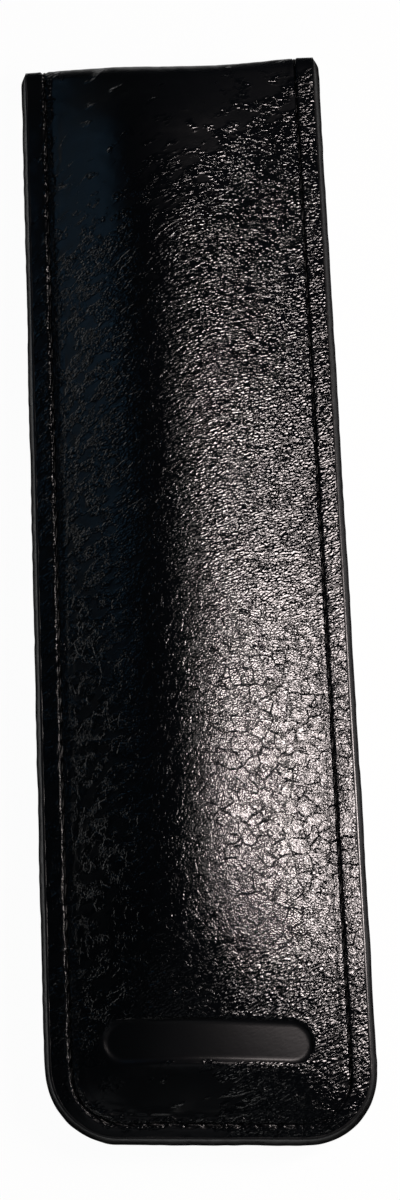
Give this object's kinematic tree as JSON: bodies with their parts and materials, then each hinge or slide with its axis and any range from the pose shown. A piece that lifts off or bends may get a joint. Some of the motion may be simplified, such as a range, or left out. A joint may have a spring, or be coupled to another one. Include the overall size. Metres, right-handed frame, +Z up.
{
  "type": "pen sleeve",
  "caption": "Long stitched leather sleeve for one pen, with a crowned front, a pressed rounded panel near its closed end and an open turned mouth.",
  "frame": {"origin": "centre of the sleeve's outline, on the surface that it lies on", "axes": "+X across the sleeve to the right seen from the front with the mouth up, +Y along it towards the mouth, +Z up out of the crowned front"},
  "size_m": [0.045, 0.16, 0.0152],
  "materials": {
    "outer_leather": "pebbled grain, satin",
    "lining": "short nap, matt",
    "interlining": "bonded fibre board, matt",
    "edge_paint": "smooth, satin",
    "thread": "twisted, waxed"
  },
  "bodies": {
    "root": {"front_panel": "outer_leather", "back_panel": "outer_leather", "front_lining": "lining", "back_lining": "lining", "front_interlining": "interlining", "back_interlining": "interlining", "edge_coat": "edge_paint", "needle_thread": "thread", "bobbin_thread": "thread", "mouth_wrap_left": "thread", "mouth_wrap_right": "thread"}
  },
  "joints": []
}
